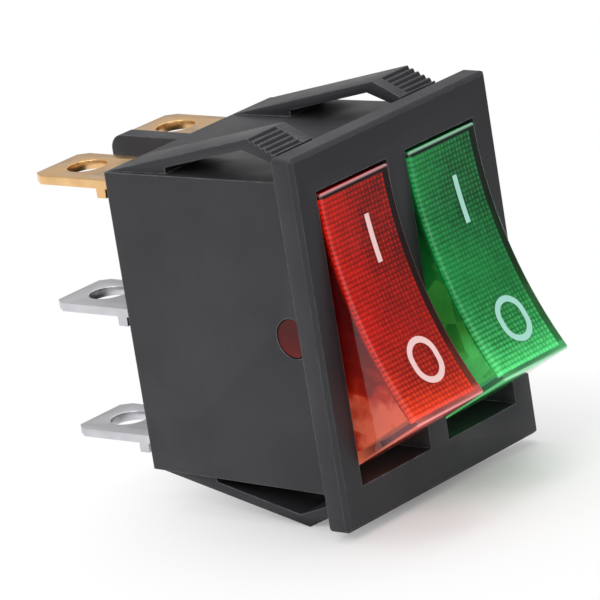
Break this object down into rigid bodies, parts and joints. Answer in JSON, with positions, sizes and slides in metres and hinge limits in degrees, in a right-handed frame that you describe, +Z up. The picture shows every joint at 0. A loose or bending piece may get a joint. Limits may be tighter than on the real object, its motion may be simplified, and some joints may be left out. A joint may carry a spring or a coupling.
{
  "type": "panel rocker switch",
  "caption": "Snap-in twin rocker switch with lit rockers marked I and O, latch arms on top and bottom, a central rear barrier and push-on terminal tabs.",
  "frame": {"origin": "centre of the plane where the bezel's rear face seats on the panel", "axes": "+X across the two rockers from the red one to the green one, +Y from the bezel back to the tabs, +Z up towards the rockers' I ends"},
  "size_m": [0.025, 0.0387, 0.0326],
  "materials": {
    "housing_plastic": "dark grey moulded plastic, satin bezel and finely grained body",
    "red_rocker_plastic": "translucent red, polished",
    "green_rocker_plastic": "translucent green, polished",
    "red_rocker_mark": "pale pink print",
    "green_rocker_mark": "pale mint print",
    "tin_plate": "bright tin-plated strip",
    "brass_strip": "rolled brass",
    "copper_strip": "copper alloy strip",
    "contact_silver": "silver alloy",
    "spring_steel": "drawn spring wire",
    "tinned_wire": "tinned copper wire",
    "nylon": "natural nylon",
    "lamp_glass": "clear neon lamp glass",
    "resistor_body": "coated resistor body"
  },
  "bodies": {
    "housing": {"housing": "housing_plastic", "red_common_terminal": "tin_plate", "red_load_terminal": "tin_plate", "red_lamp_terminal": "brass_strip", "red_fixed_contact": "contact_silver", "red_lamp_spring": "spring_steel", "red_load_spring": "spring_steel", "green_common_terminal": "tin_plate", "green_load_terminal": "tin_plate", "green_lamp_terminal": "brass_strip", "green_fixed_contact": "contact_silver", "green_lamp_spring": "spring_steel", "green_load_spring": "spring_steel"},
    "red_rocker": {"red_rocker": "red_rocker_plastic", "red_on_mark": "red_rocker_mark", "red_off_mark": "red_rocker_mark", "red_lamp": "lamp_glass", "red_lamp_cap": "brass_strip", "red_resistor": "resistor_body", "red_link_wire": "tinned_wire", "red_resistor_lead": "tinned_wire", "red_plunger_spring": "spring_steel"},
    "red_plunger": {"red_plunger": "nylon"},
    "red_blade": {"red_blade": "copper_strip", "red_moving_contact": "contact_silver"},
    "green_rocker": {"green_rocker": "green_rocker_plastic", "green_on_mark": "green_rocker_mark", "green_off_mark": "green_rocker_mark", "green_lamp": "lamp_glass", "green_lamp_cap": "brass_strip", "green_resistor": "resistor_body", "green_link_wire": "tinned_wire", "green_resistor_lead": "tinned_wire", "green_plunger_spring": "spring_steel"},
    "green_plunger": {"green_plunger": "nylon"},
    "green_blade": {"green_blade": "copper_strip", "green_moving_contact": "contact_silver"}
  },
  "joints": [
    {"name": "red_rocker_hinge", "type": "hinge", "parent": "housing", "child": "red_rocker", "pos_m": [-0.0056, 0.0022, 0], "axis": [1, 0, 0], "range_deg": [0, 38], "deforming": ["red_lamp_spring", "red_load_spring"]},
    {"name": "red_plunger_slide", "type": "slide", "parent": "red_rocker", "child": "red_plunger", "axis": [0, -0.9455, 0.3256], "range_m": [0, 0.001], "stiffness_N_per_m": 400, "springref_m": -0.002, "deforming": ["red_plunger_spring"]},
    {"name": "red_blade_hinge", "type": "hinge", "parent": "housing", "child": "red_blade", "pos_m": [-0.0056, 0.013, 0], "axis": [1, 0, 0], "range_deg": [-14, 0]},
    {"name": "green_rocker_hinge", "type": "hinge", "parent": "housing", "child": "green_rocker", "pos_m": [0.0056, 0.0022, 0], "axis": [1, 0, 0], "range_deg": [0, 38], "deforming": ["green_lamp_spring", "green_load_spring"]},
    {"name": "green_plunger_slide", "type": "slide", "parent": "green_rocker", "child": "green_plunger", "axis": [0, -0.9455, 0.3256], "range_m": [0, 0.001], "stiffness_N_per_m": 400, "springref_m": -0.002, "deforming": ["green_plunger_spring"]},
    {"name": "green_blade_hinge", "type": "hinge", "parent": "housing", "child": "green_blade", "pos_m": [0.0056, 0.013, 0], "axis": [1, 0, 0], "range_deg": [-14, 0]}
  ],
  "couplings": [
    {"joint": "red_blade_hinge", "follows": "red_rocker_hinge", "ratio": -0.3684},
    {"joint": "green_blade_hinge", "follows": "green_rocker_hinge", "ratio": -0.3684}
  ]
}
